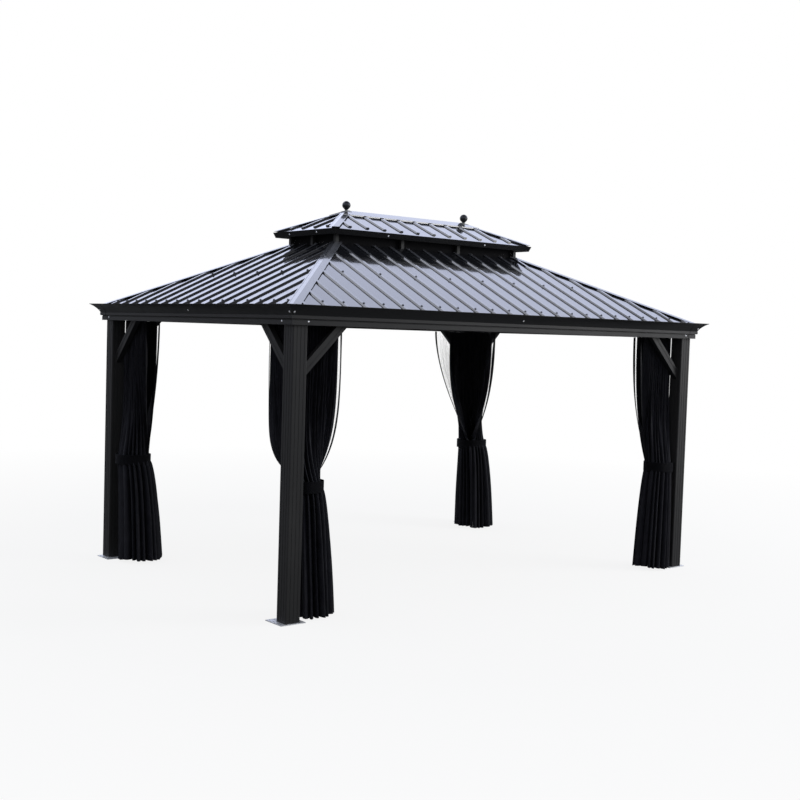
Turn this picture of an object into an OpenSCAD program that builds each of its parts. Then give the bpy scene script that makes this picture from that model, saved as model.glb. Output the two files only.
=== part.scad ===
// Hardtop garden gazebo with a double hipped roof of ribbed steel sheet on an aluminium frame.
// X runs along the long side, Y along the short side (the front faces -Y), Z is up.
// The origin is the middle of the footprint, on the ground. All sizes are in millimetres.

/* [Overall] */
// Length over the cornice lips
roof_len = 4310; // [3600:10:4900]
// Width over the cornice lips
roof_wid = 3040; // [2700:10:3500]
// Clear height from the ground to the underside of the beams
clear_h = 1985; // [1800:5:2300]

/* [Posts] */
// Side of the square post
post_w = 115; // [90:1:140]
// Wall of the post
post_wall = 4; // [3:0.5:6]
// Corner radius of the post
post_r = 8; // [7:0.5:12]
// Width of one flute down the post
flute_w = 9; // [4:0.5:14]
// Depth of a flute
flute_d = 1.6; // [0.8:0.1:2]
// Distance between the outer flutes and the middle one
flute_pitch = 30; // [20:1:32]
// Side of the square base plate
plate_w = 195; // [185:1:240]
// Set-in of the base plate from the middle of its post, away from the front or the back
plate_shift = 30; // [0:1:35]
// Thickness of the base plate
plate_t = 6; // [4:0.5:12]
// Distance between the anchor holes of a base plate
anchor_pitch = 155; // [145:1:165]
// Diameter of an anchor hole
anchor_d = 12; // [8:0.5:14]

/* [Gutter beams] */
// Reach of the cornice lip beyond the beam's lower band
flare = 80; // [60:1:100]
// Reach of the beam's lower band beyond the post
band_out = 27; // [10:1:40]
// Height of the beam from its underside to the cornice lip
crown_h = 133; // [120:1:160]
// Height of the lower flat band
band_h = 31; // [20:1:36]
// Height of the bead above it, from the beam's underside to its lower edge
bead_z = 41; // [38:1:46]
// Height of the bead
bead_h = 21; // [12:1:24]
// Reach of the bead beyond the lower band
bead_out = 12.5; // [6:0.5:18]
// Step between the bead and the faces beside it
bead_step = 2; // [1:0.5:4]
// Slope of the groove's upper edge under the bead
groove_rise = 4; // [2:0.5:6]
// Radius of the hollow curve of the cornice
cove_r = 155; // [110:1:260]
// Wall of the beam extrusion
beam_wall = 3; // [2:0.5:4]
// Width of the cornice lip
lip_w = 4; // [3:0.5:6]
// Width of the seat that carries the roof sheets
seat_w = 30; // [20:1:40]
// Distance from the cornice lip to that seat
seat_in = 130; // [120:1:150]
// Gap where two lengths of beam meet
joint_gap = 0.6; // [0.2:0.1:2]
// Distance of the joint in each side from the middle of that side
joint_off = 52; // [0:1:200]
// Leg of the corner cover along each beam
cover_leg = 62; // [40:1:100]
// Thickness of the corner cover
cover_t = 2; // [1:0.5:3]
// Length of the splice plate inside each beam joint
splice_len = 240; // [120:10:400]
// Height of the splice plate
splice_h = 48; // [30:1:60]
// Thickness of the splice plate
splice_t = 3; // [2:0.5:5]
// Clearance between the splice plate and the curtain rail
splice_clear = 2; // [1:0.5:6]

/* [Knee braces] */
// Reach of a brace along the post and along the beam
brace_leg = 350; // [250:5:500]
// Width of the brace
brace_w = 63; // [40:1:80]
// Thickness of the brace
brace_t = 40; // [25:1:50]
// Width of the groove along the brace
brace_groove_w = 14; // [6:1:20]
// Depth of that groove
brace_groove_d = 2; // [1:0.5:4]

/* [Ribbed roof] */
// Pitch of the main roof in degrees
roof_pitch = 25.5; // [20:0.5:30]
// Depth of the main roof's sheet below the cornice lip, at the lip line
pan_drop = 52; // [45:1:60]
// Distance from the lip line to the lower edge of the sheets
sheet_in = 70; // [60:1:110]
// Thickness of the sheet
sheet_t = 2; // [1.2:0.1:3]
// Distance between ribs
rib_pitch = 171; // [120:1:250]
// Height of a rib
rib_h = 11; // [8:0.5:25]
// Width of a rib at its foot
rib_foot = 39; // [35:1:60]
// Width of a rib at its top
rib_top = 22; // [10:1:30]
// Gap between each sheet's cut edge and the hip line
hip_gap = 6; // [2:1:15]
// Width of one wing of a hip cap, square to the hip
hip_wing = 46; // [30:1:70]
// Thickness of the caps
cap_t = 1.6; // [1:0.1:3]
// Width of the hem along each edge of a hip cap
cap_hem = 9; // [4:0.5:14]

/* [Roof frame] */
// Width of a rafter
rafter_w = 40; // [25:1:60]
// Depth of a rafter, measured plumb
rafter_d = 44; // [30:1:60]
// Distance of the outer long-side rafters from the vent's corners
rafter_from_vent = 335; // [150:5:500]
// Distance from the lip line to the purlins
purlin_in = 640; // [400:10:900]
// Width of a purlin
purlin_w = 30; // [20:1:50]
// Width of the vent between the two roofs
vent_wid = 660; // [560:10:800]
// Clear height of the vent posts
vent_h = 114; // [80:1:160]
// Width of the vent frame's bars
vent_bar = 30; // [20:1:45]
// Height of the vent's head bars
head_h = 30; // [20:1:45]
// Distance of the vent posts on the long side from its middle
vent_post_x = 300; // [150:10:500]

/* [Upper roof] */
// Reach of the upper roof beyond the vent
upper_out = 95; // [60:1:140]
// Pitch of the upper roof in degrees
upper_pitch = 23; // [18:0.5:28]
// Flat strip of the upper sheets between their eave and the ends of their ribs
eave_flat = 62; // [20:1:120]
// Height of the upper eave trim
trim_h = 42; // [30:1:60]
// Rise of the trim above the sheet, at the lip line
trim_up = 3; // [1:1:20]
// How far the trim's lower edge is drawn in under the eave
trim_tuck = 16; // [0:1:24]
// Width of the trim's flanges
trim_flange = 16; // [10:1:30]
// Clearance between the upper sheets and the trim's upright face
trim_clear = 1; // [0.5:0.5:4]
// Width of one wing of the upper hip caps
upper_wing = 40; // [25:1:60]
// Width of one wing of the ridge cap, measured level
ridge_wing = 98; // [60:1:130]
// Height of the ridge cap's folded edge
ridge_lip = 9; // [4:0.5:14]
// Diameter of a finial at its widest
ball_d = 68; // [40:1:100]
// Height of that widest part above the ridge
ball_up = 41; // [40:1:80]
// Height of the taper from there down to the neck
finial_taper = 37; // [35:1:60]
// Diameter of a finial's neck
finial_neck_d = 24; // [12:1:30]
// Side of the folded saddle plate under a finial
saddle_w = 66; // [40:1:100]
// Thickness of that saddle plate
saddle_t = 2; // [1:0.5:4]

/* [Curtains] */
// Width of the curtain rail
rail_w = 20; // [15:1:30]
// Height of the curtain rail
rail_h = 25; // [15:1:35]
// Clearance between a curtain and its rail
curtain_gap = 0.3; // [0.2:0.1:2]
// Reach of a drawn curtain along each rail
curtain_top = 350; // [250:10:500]
// Fullness of the gathered curtains: front left, front right, back right, back left
curtain_full = [0.9, 0.95, 1.15, 1.1]; // [0.8:0.05:1.2]
// Depth of the curtain below its rail, square to it
curtain_depth = 40; // [20:1:60]
// Height of the tie that gathers each curtain
tie_h = 860; // [600:10:1200]
// Width of a gathered curtain at its tie, at fullness 1
waist_w = 250; // [200:10:300]
// Width of a curtain at its hem, at fullness 1
hem_w = 350; // [260:10:420]
// Middle of the front left curtain at its tie, inwards from its post along the long and the short side
front_left_tie = [120, 30]; // [-40:1:250]
// Middle of the front left curtain at its hem
front_left_hem = [185, 20]; // [-40:1:300]
// Middle of the front right curtain at its tie
front_right_tie = [127, -20]; // [-40:1:250]
// Middle of the front right curtain at its hem
front_right_hem = [175, -25]; // [-40:1:300]
// Middle of the back right curtain at its tie
back_right_tie = [87, 160]; // [-40:1:250]
// Middle of the back right curtain at its hem
back_right_hem = [90, 240]; // [-40:1:300]
// Middle of the back left curtain at its tie
back_left_tie = [20, 148]; // [-40:1:250]
// Middle of the back left curtain at its hem
back_left_hem = [60, 225]; // [-40:1:300]
// Height of the hem above the ground
hem_up = 20; // [8:1:60]

/* [Hidden] */
$fn = 48;
cut = 1;

// The sides, in quarter turns from the front
SIDES = ["front", "right", "back", "left"];
function turn(name) = search([name], SIDES)[0];

// Heights
lip_z = clear_h + crown_h;
pan_z = lip_z - pan_drop;

// Thickness of the sheets and height of their ribs, measured plumb on each roof
sheet_v = sheet_t / cos(roof_pitch);
upper_sheet_v = sheet_t / cos(upper_pitch);
rib_up = rib_h / cos(roof_pitch);
upper_rib_up = rib_h / cos(upper_pitch);

// Plan sizes, measured inwards from the cornice lip line
post_in = cover_t + flare + band_out;
beam_in = post_in + post_w;
post_x = roof_len / 2 - post_in - post_w / 2;
post_y = roof_wid / 2 - post_in - post_w / 2;
vent_in = (roof_wid - vent_wid) / 2;
vent_half_x = roof_len / 2 - vent_in;
vent_half_y = vent_wid / 2;
long_rafter_x = vent_half_x - rafter_from_vent;
upper_in = vent_in - upper_out;
sill_z = pan_at(vent_in) - sheet_v;
head_z = sill_z + vent_h;
upper_pan_z = head_z + head_h + upper_sheet_v - upper_out * tan(upper_pitch);
upper_half = roof_wid / 2 - upper_in;
ridge_half = (roof_len - roof_wid) / 2;
ridge_z = upper_pan_at(upper_half);
ridge_top = ridge_z + upper_rib_up + 3 * cap_t;
// Height of the upper roof's sheet if it ran on down to the cornice lip line
upper_line_z = upper_pan_z - upper_in * tan(upper_pitch);

function pan_at(k) = pan_z + k * tan(roof_pitch);
function upper_pan_at(k) = upper_pan_z + k * tan(upper_pitch);

// Distance from the middle of the roof to the lip line of a side, and half the length of that side
function reach(side) = (side % 2 == 0 ? roof_wid : roof_len) / 2;
function run(side) = (side % 2 == 0 ? roof_len : roof_wid) / 2;

frame_colour = [0.15, 0.15, 0.17];
plate_colour = [0.62, 0.63, 0.64];
sheet_colour = [0.40, 0.42, 0.48];
cap_colour = [0.56, 0.59, 0.66];
curtain_colour = [0.04, 0.04, 0.05];

// Shapes shared by the pieces

// Turns a side's own frame, with the side facing -Y, to its place round the gazebo
module on_side(side) {
    rotate([0, 0, 90 * side]) children();
}

// Turns the front left corner of the gazebo to one of the four corners
module at_corner(corner, half_x, half_y) {
    sx = corner == 0 || corner == 3 ? 0 : 1;
    sy = corner < 2 ? 0 : 1;
    mirror([sx, 0, 0]) mirror([0, sy, 0]) translate([-half_x, -half_y, 0]) children();
}

// Runs an outline drawn in (distance in from the lip line, height) along a side
module along_side(side, x0, x1) {
    translate([x0, -reach(side), 0])
        rotate([90, 0, 90])
            linear_extrude(x1 - x0) children();
}

// Upright prism over the part of a side that lies between two distances in from the lip line,
// cut back by a gap from the hip lines at its two ends
module side_prism(side, k0, k1, gap) {
    r = run(side);
    linear_extrude(ridge_top)
        polygon([
            [-r + k0 + gap, -reach(side) + k0], [r - k0 - gap, -reach(side) + k0],
            [r - k1 - gap, -reach(side) + k1], [-r + k1 + gap, -reach(side) + k1]
        ]);
}

// Upright prism over a strip beside the hip at the left end of a side,
// between two distances square to the hip
module hip_strip(side, k0, k1, from, to) {
    near = from * sqrt(2);
    far = to * sqrt(2);
    x = -run(side);
    y = -reach(side);
    linear_extrude(ridge_top)
        polygon([
            [x + k0 + near, y + k0], [x + k0 + far, y + k0],
            [x + k1 + far, y + k1], [x + k1 + near, y + k1]
        ]);
}

// Slab that follows a slope, between two heights above the line z = z0 + k * tan(pitch)
module slope_slab(side, k0, k1, z0, pitch, low, high) {
    along_side(side, -run(side), run(side))
        polygon([
            [k0, z0 + k0 * tan(pitch) + low], [k1, z0 + k1 * tan(pitch) + low],
            [k1, z0 + k1 * tan(pitch) + high], [k0, z0 + k0 * tan(pitch) + high]
        ]);
}

// Posts and base plates

module base_plate(corner) {
    color(plate_colour)
        at_corner(corner, post_x, post_y - plate_shift)
            difference() {
                translate([-plate_w / 2, -plate_w / 2, 0]) cube([plate_w, plate_w, plate_t]);
                for (x = [-1, 1], y = [-1, 1])
                    translate([x * anchor_pitch / 2, y * anchor_pitch / 2, -cut])
                        cylinder(d = anchor_d, h = plate_t + 2 * cut);
            }
}

module rounded_square(side, r) {
    square([side, side - 2 * r], center = true);
    square([side - 2 * r, side], center = true);
    for (x = [-1, 1], y = [-1, 1])
        translate([x, y] * (side / 2 - r)) circle(r);
}

module post(corner) {
    color(frame_colour)
        at_corner(corner, post_x, post_y)
            translate([0, 0, plate_t])
                linear_extrude(clear_h - plate_t)
                    difference() {
                        rounded_square(post_w, post_r);
                        rounded_square(post_w - 2 * post_wall, post_r - post_wall);
                        for (turn = [0:3], i = [-1:1])
                            rotate(90 * turn)
                                translate([i * flute_pitch - flute_w / 2, post_w / 2 - flute_d])
                                    square([flute_w, flute_d + cut]);
                    }
}

// Gutter beams: one extruded section, mitred at the corners and joined near the middle of each side

// Middle of the cornice's hollow curve, which lies outside the beam
cove_foot = [cover_t + flare - bead_out + bead_step, clear_h + bead_z + bead_h + bead_step];
cove_tip = [cover_t, lip_z - beam_wall];
cove_chord = cove_tip - cove_foot;
cove_out = [-cove_chord.y, cove_chord.x] * -1 / norm(cove_chord);
cove_mid = (cove_foot + cove_tip) / 2
    - cove_out * sqrt(pow(cove_r, 2) - pow(norm(cove_chord) / 2, 2));
cove_a0 = atan2(cove_foot.y - cove_mid.y, cove_foot.x - cove_mid.x);
cove_a1 = atan2(cove_tip.y - cove_mid.y, cove_tip.x - cove_mid.x);
cove_steps = 10;

function cove(r) = [
    for (i = [0:cove_steps])
        let (a = cove_a0 + (cove_a1 - cove_a0) * i / cove_steps)
            cove_mid + r * [cos(a), sin(a)]
];

// The show face, from the beam's underside up to the cornice lip
function show_face() = concat(
    [
        [cover_t + flare, clear_h],
        [cover_t + flare, clear_h + band_h],
        [cover_t + flare + beam_wall, clear_h + band_h + bead_step],
        [cover_t + flare + beam_wall, clear_h + bead_z - groove_rise],
        [cover_t + flare - bead_out, clear_h + bead_z],
        [cover_t + flare - bead_out, clear_h + bead_z + bead_h]
    ],
    cove(cove_r)
);

gutter_z = cove_foot.y + beam_wall;

module beam_section() {
    inner_cove = cove(cove_r + beam_wall);
    difference() {
        polygon(concat(
            show_face(),
            [[cover_t, lip_z], [cover_t + lip_w, lip_z]],
            [for (i = [cove_steps:-1:1]) inner_cove[i]],
            [
                [cove_foot.x + beam_wall + bead_step, gutter_z],
                [seat_in, gutter_z],
                [seat_in, pan_at(seat_in) - sheet_v],
                [seat_in + seat_w, pan_at(seat_in + seat_w) - sheet_v],
                [seat_in + seat_w, gutter_z],
                [beam_in, gutter_z],
                [beam_in, clear_h]
            ]
        ));
        translate([cover_t + flare + 2 * beam_wall, clear_h + beam_wall])
            square([beam_in - cover_t - flare - 3 * beam_wall, gutter_z - clear_h - 2 * beam_wall]);
        polygon([
            [seat_in + beam_wall, gutter_z],
            [seat_in + seat_w - beam_wall, gutter_z],
            [seat_in + seat_w - beam_wall, pan_at(seat_in + seat_w - beam_wall) - sheet_v - beam_wall],
            [seat_in + beam_wall, pan_at(seat_in + beam_wall) - sheet_v - beam_wall]
        ]);
    }
}

// Place of the joint along a side: towards the front left post, or its opposite
function joint_x(side) = side % 2 == 0 ? -joint_off : joint_off;

module beam(side) {
    color(frame_colour)
        on_side(side)
            intersection() {
                union() {
                    along_side(side, -run(side), joint_x(side) - joint_gap / 2) beam_section();
                    along_side(side, joint_x(side) + joint_gap / 2, run(side)) beam_section();
                }
                side_prism(side, 0, beam_in + cut, joint_gap);
            }
}

module beam_splices() {
    color(frame_colour)
        for (side = [0:3])
            on_side(side)
                along_side(side, joint_x(side) - splice_len / 2, joint_x(side) + splice_len / 2)
                    translate([beam_in, clear_h + rail_h + splice_clear])
                        square([splice_t, splice_h]);
}

module corner_covers() {
    outer = show_face();
    section = concat(
        outer,
        [[cover_t, lip_z], [0, lip_z]],
        [for (i = [len(outer) - 1:-1:0]) outer[i] - [cover_t, 0]]
    );
    color(frame_colour)
        for (corner = [0:3]) {
            next = (corner + 3) % 4;
            cover_end = cover_leg + post_in;
            on_side(corner)
                intersection() {
                    along_side(corner, -run(corner), -run(corner) + cover_end) polygon(section);
                    side_prism(corner, 0, post_in, 0);
                }
            on_side(next)
                intersection() {
                    along_side(next, run(next) - cover_end, run(next)) polygon(section);
                    side_prism(next, 0, post_in, 0);
                }
        }
}

// Knee braces, from each post up to the two beams that it carries

module brace_bar() {
    level = brace_w * sqrt(2);
    rotate([90, 0, 0])
        linear_extrude(brace_t, center = true)
            polygon([[0, -brace_leg], [0, level - brace_leg], [brace_leg - level, 0], [brace_leg, 0]]);
}

module brace_groove() {
    middle = brace_leg - brace_w / sqrt(2);
    for (face = [-1, 1])
        translate([0, face * brace_t / 2, -middle])
            rotate([0, -45, 0])
                translate([-brace_leg, -brace_groove_d, -brace_groove_w / 2])
                    cube([4 * brace_leg, 2 * brace_groove_d, brace_groove_w]);
}

module knee_brace() {
    difference() {
        brace_bar();
        brace_groove();
    }
}

module knee_braces(corner) {
    color(frame_colour)
        at_corner(corner, post_x, post_y)
            translate([0, 0, clear_h]) {
                translate([post_w / 2, 0, 0]) knee_brace();
                mirror([1, -1, 0]) translate([post_w / 2, 0, 0]) knee_brace();
            }
}

// Curtain rails on the inner faces of the beams

module curtain_rails() {
    color(frame_colour)
        for (side = [0:3])
            on_side(side)
                intersection() {
                    along_side(side, -run(side), run(side))
                        translate([beam_in, clear_h]) square([rail_w, rail_h]);
                    side_prism(side, beam_in, beam_in + rail_w, joint_gap);
                }
}

// Frame of the main roof

module rafter_section(k0, k1) {
    polygon([
        [k0, pan_at(k0) - sheet_v - rafter_d], [k1, pan_at(k1) - sheet_v - rafter_d],
        [k1, pan_at(k1) - sheet_v], [k0, pan_at(k0) - sheet_v]
    ]);
}

// Bar in the upright plane through a hip, dropped so that its top corners clear the sheets
module hip_bar(side, k0, k1, z0, pitch, w, d) {
    drop = sheet_t / cos(pitch) + w / 2 * tan(pitch) / sqrt(2);
    low = [k0 * sqrt(2), z0 + k0 * tan(pitch) - drop];
    high = [k1 * sqrt(2), z0 + k1 * tan(pitch) - drop];
    translate([-run(side), -reach(side), 0])
        rotate([90, 0, 45])
            linear_extrude(w, center = true)
                polygon([low - [0, d], high - [0, d], high, low]);
}

// Cuts the end of a hip bar back to the square corner of the frame that it meets
module within_frame(k) {
    translate([k - roof_len / 2, k - roof_wid / 2, 0])
        cube([roof_len - 2 * k, roof_wid - 2 * k, ridge_top]);
}

module hip_rafters() {
    color(frame_colour)
        difference() {
            intersection() {
                for (corner = [0:3])
                    on_side(corner)
                        hip_bar(corner, seat_in, vent_in + rafter_w, pan_z, roof_pitch, rafter_w, rafter_d);
                within_frame(seat_in + seat_w);
            }
            within_frame(vent_in);
        }
}

module long_side_rafters() {
    color(frame_colour)
        for (side = [turn("front"), turn("back")], x = [-long_rafter_x, 0, long_rafter_x])
            on_side(side)
                along_side(side, x - rafter_w / 2, x + rafter_w / 2)
                    rafter_section(seat_in + seat_w, vent_in);
}

module short_side_rafters() {
    color(frame_colour)
        for (side = [turn("left"), turn("right")])
            on_side(side)
                along_side(side, -rafter_w / 2, rafter_w / 2)
                    rafter_section(seat_in + seat_w, vent_in);
}

// Purlin lengths between the rafters, each cut to meet the bars beside it
module purlins() {
    hip_side = rafter_w / 2 * sqrt(2);
    color(frame_colour)
        for (side = [0:3]) {
            stops = side % 2 == 0 ? [-long_rafter_x, 0, long_rafter_x] : [0];
            on_side(side)
                difference() {
                    intersection() {
                        along_side(side, -run(side), run(side))
                            rafter_section(purlin_in - purlin_w / 2, purlin_in + purlin_w / 2);
                        side_prism(side, purlin_in - purlin_w, purlin_in + purlin_w, hip_side);
                    }
                    for (x = stops)
                        translate([x - rafter_w / 2, -reach(side), 0])
                            cube([rafter_w, reach(side), ridge_top]);
                }
        }
}

// Ribbed sheets

// Middles of the ribs across a slope
function rib_places(half, phase) =
    let (n = ceil(half / rib_pitch) + 1)
        [for (i = [-n:n]) (i + phase) * rib_pitch];

// The main roof and the short upper slopes have a pan in the middle, the long upper slopes a rib
function upper_phase(side) = side % 2 == 0 ? 0 : 0.5;

// Outline of one rib, from pan to pan
function rib_outline(x) = [
    [x - rib_foot / 2, 0], [x - rib_top / 2, rib_h], [x + rib_top / 2, rib_h], [x + rib_foot / 2, 0]
];

// Section of the sheet across its ribs, level along the pans
module ribbed_section(half, phase) {
    top_line = [for (x = rib_places(half, phase)) each rib_outline(x)];
    last = len(top_line) - 1;
    polygon(concat(top_line, [for (i = [last:-1:0]) top_line[i] - [0, sheet_t]]));
}

// Turns a section, drawn across the ribs, up the pitch from a line that runs along a side
module up_slope(side, k_line, z_line, pitch, from, to) {
    translate([0, -reach(side) + k_line, z_line])
        rotate([90 + pitch, 0, 0])
            translate([0, 0, -to])
                linear_extrude(to - from) children();
}

module main_slope(side) {
    length = (vent_in + rib_pitch) / cos(roof_pitch);
    color(sheet_colour)
        on_side(side)
            intersection() {
                up_slope(side, 0, pan_z, roof_pitch, 0, length) ribbed_section(run(side), 0.5);
                side_prism(side, sheet_in, vent_in, hip_gap);
            }
}

// The upper sheets lie flat along the eave, where their pressed ribs end in closed noses
module upper_slope(side) {
    phase = upper_phase(side);
    length = (upper_half + rib_pitch) / cos(upper_pitch);
    nose = eave_flat / cos(upper_pitch);
    color(sheet_colour)
        on_side(side)
            intersection() {
                union() {
                    up_slope(side, upper_in, upper_pan_z, upper_pitch, nose, length)
                        ribbed_section(run(side), phase);
                    up_slope(side, upper_in, upper_pan_z, upper_pitch, 0, nose + sheet_t)
                        translate([-run(side), -sheet_t]) square([2 * run(side), sheet_t]);
                    up_slope(side, upper_in, upper_pan_z, upper_pitch, nose, nose + sheet_t)
                        for (x = rib_places(run(side), phase)) polygon(rib_outline(x));
                }
                side_prism(side, upper_in + trim_seat_in, upper_in + upper_half - hip_gap, hip_gap);
            }
}

// One wing of a folded cap beside a hip, with its outer edge hemmed to twice the thickness
module cap_wing(side, k0, k1, z0, pitch, up, wing) {
    intersection() {
        union() {
            intersection() {
                slope_slab(side, k0, k1, z0, pitch, up, up + cap_t);
                hip_strip(side, k0, k1, 0, wing);
            }
            intersection() {
                slope_slab(side, k0, k1, z0, pitch, up, up + 2 * cap_t);
                hip_strip(side, k0, k1, wing - cap_hem, wing);
            }
        }
        translate([-run(side), -reach(side), 0])
            cube([run(side) - joint_gap, reach(side) - joint_gap, ridge_top]);
    }
}

module hip_cap_pair(corner, k0, k1, z0, pitch, up, wing) {
    next = (corner + 3) % 4;
    on_side(corner) cap_wing(corner, k0, k1, z0, pitch, up, wing);
    on_side(next) mirror([1, 0, 0]) cap_wing(next, k0, k1, z0, pitch, up, wing);
}

module hip_caps() {
    color(cap_colour)
        for (corner = [0:3])
            hip_cap_pair(corner, sheet_in, vent_in, pan_z, roof_pitch, rib_up, hip_wing);
}

// Vent between the roofs

module frame_ring(k0, w, z0, h) {
    for (side = [0:3])
        on_side(side)
            intersection() {
                along_side(side, -run(side), run(side)) translate([k0, z0]) square([w, h]);
                side_prism(side, k0, k0 + w, joint_gap);
            }
}

module vent_sill() {
    color(frame_colour) frame_ring(vent_in, rafter_w, sill_z - rafter_d, rafter_d);
}

module vent_posts() {
    stand = [vent_bar, vent_bar, vent_h];
    color(frame_colour)
        translate([0, 0, sill_z]) {
            for (corner = [0:3])
                at_corner(corner, vent_half_x, vent_half_y) cube(stand);
            for (corner = [0:3])
                at_corner(corner, vent_post_x + vent_bar / 2, vent_half_y) cube(stand);
            for (end = [0, 1])
                mirror([end, 0, 0]) translate([-vent_half_x, -vent_bar / 2, 0]) cube(stand);
        }
}

module vent_head() {
    color(frame_colour) frame_ring(vent_in, vent_bar, head_z, head_h);
}

// Upper roof

ridge_beam_w = vent_bar;
finial_steps = 24;
ridge_beam_top = upper_pan_at(upper_half - ridge_beam_w / 2) - upper_sheet_v;
trim_seat_in = cap_t + trim_clear + trim_tuck * (trim_up + upper_sheet_v) / trim_h;

module ridge_beam() {
    color(frame_colour)
        translate([-ridge_half, -ridge_beam_w / 2, ridge_beam_top - rafter_d])
            cube([2 * ridge_half, ridge_beam_w, rafter_d]);
}

module upper_hip_rafters() {
    color(frame_colour)
        intersection() {
            for (corner = [0:3])
                on_side(corner)
                    hip_bar(corner, vent_in, upper_in + upper_half - vent_bar / 2 / sqrt(2) - joint_gap,
                        upper_line_z, upper_pitch, vent_bar, vent_bar);
            within_frame(vent_in + vent_bar);
        }
}

// Section of the upper eave trim: a face drawn in under the eave, a lower flange and a sloping seat for the sheet
module trim_section() {
    top = upper_pan_z + trim_up;
    low = top - trim_h;
    seat = upper_pan_z - upper_sheet_v;
    rise = trim_flange * tan(upper_pitch);
    seat_in = trim_tuck * (top - seat + cap_t) / trim_h;
    polygon([[0, top], [cap_t, top], [trim_tuck + cap_t, low], [trim_tuck, low]]);
    translate([trim_tuck, low]) square([trim_flange, cap_t]);
    polygon([
        [seat_in, seat - cap_t + seat_in * tan(upper_pitch)], [trim_flange, seat + rise - cap_t],
        [trim_flange, seat + rise], [seat_in, seat + seat_in * tan(upper_pitch)]
    ]);
}

module upper_eave_trims() {
    color(cap_colour)
        for (side = [0:3])
            on_side(side)
                intersection() {
                    along_side(side, -run(side), run(side)) translate([upper_in, 0]) trim_section();
                    side_prism(side, upper_in, upper_in + trim_tuck + trim_flange, joint_gap);
                }
}

module upper_hip_caps() {
    color(cap_colour)
        for (corner = [0:3])
            hip_cap_pair(corner, upper_in + trim_seat_in, upper_in + upper_half - hip_gap,
                upper_line_z, upper_pitch, upper_rib_up, upper_wing);
}

// Everything under the ridge cap's top face, as one hipped solid
module under_ridge(up) {
    eave_z = upper_pan_z + up;
    intersection() {
        rotate([90, 0, 90])
            linear_extrude(roof_len, center = true)
                polygon([[-upper_half, eave_z], [upper_half, eave_z], [0, ridge_z + up]]);
        rotate([90, 0, 0])
            linear_extrude(roof_wid, center = true)
                polygon([
                    [-ridge_half - upper_half, eave_z], [ridge_half + upper_half, eave_z],
                    [ridge_half, ridge_z + up], [-ridge_half, ridge_z + up]
                ]);
    }
}

// Two wings that lie on the hemmed hip caps. The lower edge of each is turned down, and notched over the ribs
module ridge_cap() {
    up = upper_rib_up + 2 * cap_t;
    low = upper_in + upper_half - ridge_wing;
    high = upper_in + upper_half;
    notch_z = upper_line_z + low * tan(upper_pitch) - ridge_lip;
    color(cap_colour)
        for (side = [turn("front"), turn("back")])
            on_side(side)
                intersection() {
                    union() {
                        slope_slab(side, low, high, upper_line_z, upper_pitch, up, up + cap_t);
                        difference() {
                            slope_slab(side, low, low + cap_t, upper_line_z, upper_pitch,
                                up - ridge_lip, up + cap_t);
                            for (x = rib_places(ridge_half, upper_phase(side)))
                                translate([x - rib_foot / 2, -reach(side), notch_z])
                                    cube([rib_foot, high, up + ridge_lip]);
                        }
                    }
                    side_prism(side, low, high, 0);
                }
}

// Half outline of a finial: a round top that tapers below its widest part to the neck
function finial_outline() =
    let (
        r = ball_d / 2,
        neck_r = finial_neck_d / 2,
        slope = atan2(r - neck_r, finial_taper)
    ) concat(
        [for (i = [0:finial_steps]) let (a = 90 - (90 + slope) * i / finial_steps) r * [cos(a), sin(a)]],
        [[neck_r, -finial_taper], [neck_r, -ball_up - finial_neck_d], [0, -ball_up - finial_neck_d]]
    );

// Each finial stands on a folded saddle plate, over the end of the ridge cap and the tops of two hip caps
module finials() {
    seat = upper_rib_up + 3 * cap_t;
    color(frame_colour)
        for (end = [-1, 1])
            difference() {
                union() {
                    translate([end * ridge_half, 0, ridge_top + ball_up])
                        rotate_extrude() polygon(finial_outline());
                    intersection() {
                        translate([end * ridge_half - saddle_w / 2, -saddle_w / 2, 0])
                            cube([saddle_w, saddle_w, ridge_top + ball_up]);
                        under_ridge(seat + saddle_t / cos(upper_pitch));
                    }
                }
                under_ridge(seat);
            }
}

// Curtains, drawn to the corners and tied beside the posts: from an L under two rails to a round bundle

curtain_steps = 5;
curtain_rings = 8;
hem_rings = 5;
round_end = 8;
TIES = [front_left_tie, front_right_tie, back_right_tie, back_left_tie];
HEMS = [front_left_hem, front_right_hem, back_right_hem, back_left_hem];

function between(p, q, first) = [for (i = [first:curtain_steps]) p + (q - p) * i / curtain_steps];

function curtain_head() = concat(
    between([curtain_top, curtain_depth], [curtain_depth, curtain_depth], 0),
    between([curtain_depth, curtain_depth], [curtain_depth, curtain_top], 1),
    between([curtain_gap, curtain_top], [curtain_gap, curtain_gap], 0),
    between([curtain_gap, curtain_gap], [curtain_top, curtain_gap], 1)
);

// Round section of a bundle about its middle, started and ended as the L is
function curtain_round(middle, w) =
    let (
        turns = concat(
            between(round_end - 90, 0, 0), between(0, 90 - round_end, 1),
            between(90 + round_end, 180, 0), between(180, 270 - round_end, 1)
        )
    ) [
        for (a = turns)
            middle + w / 2 * [cos(a + 45), sin(a + 45)]
    ];

function blend(p, q, s, z) = [for (i = [0:len(p) - 1]) concat(p[i] + (q[i] - p[i]) * s, z)];

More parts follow.
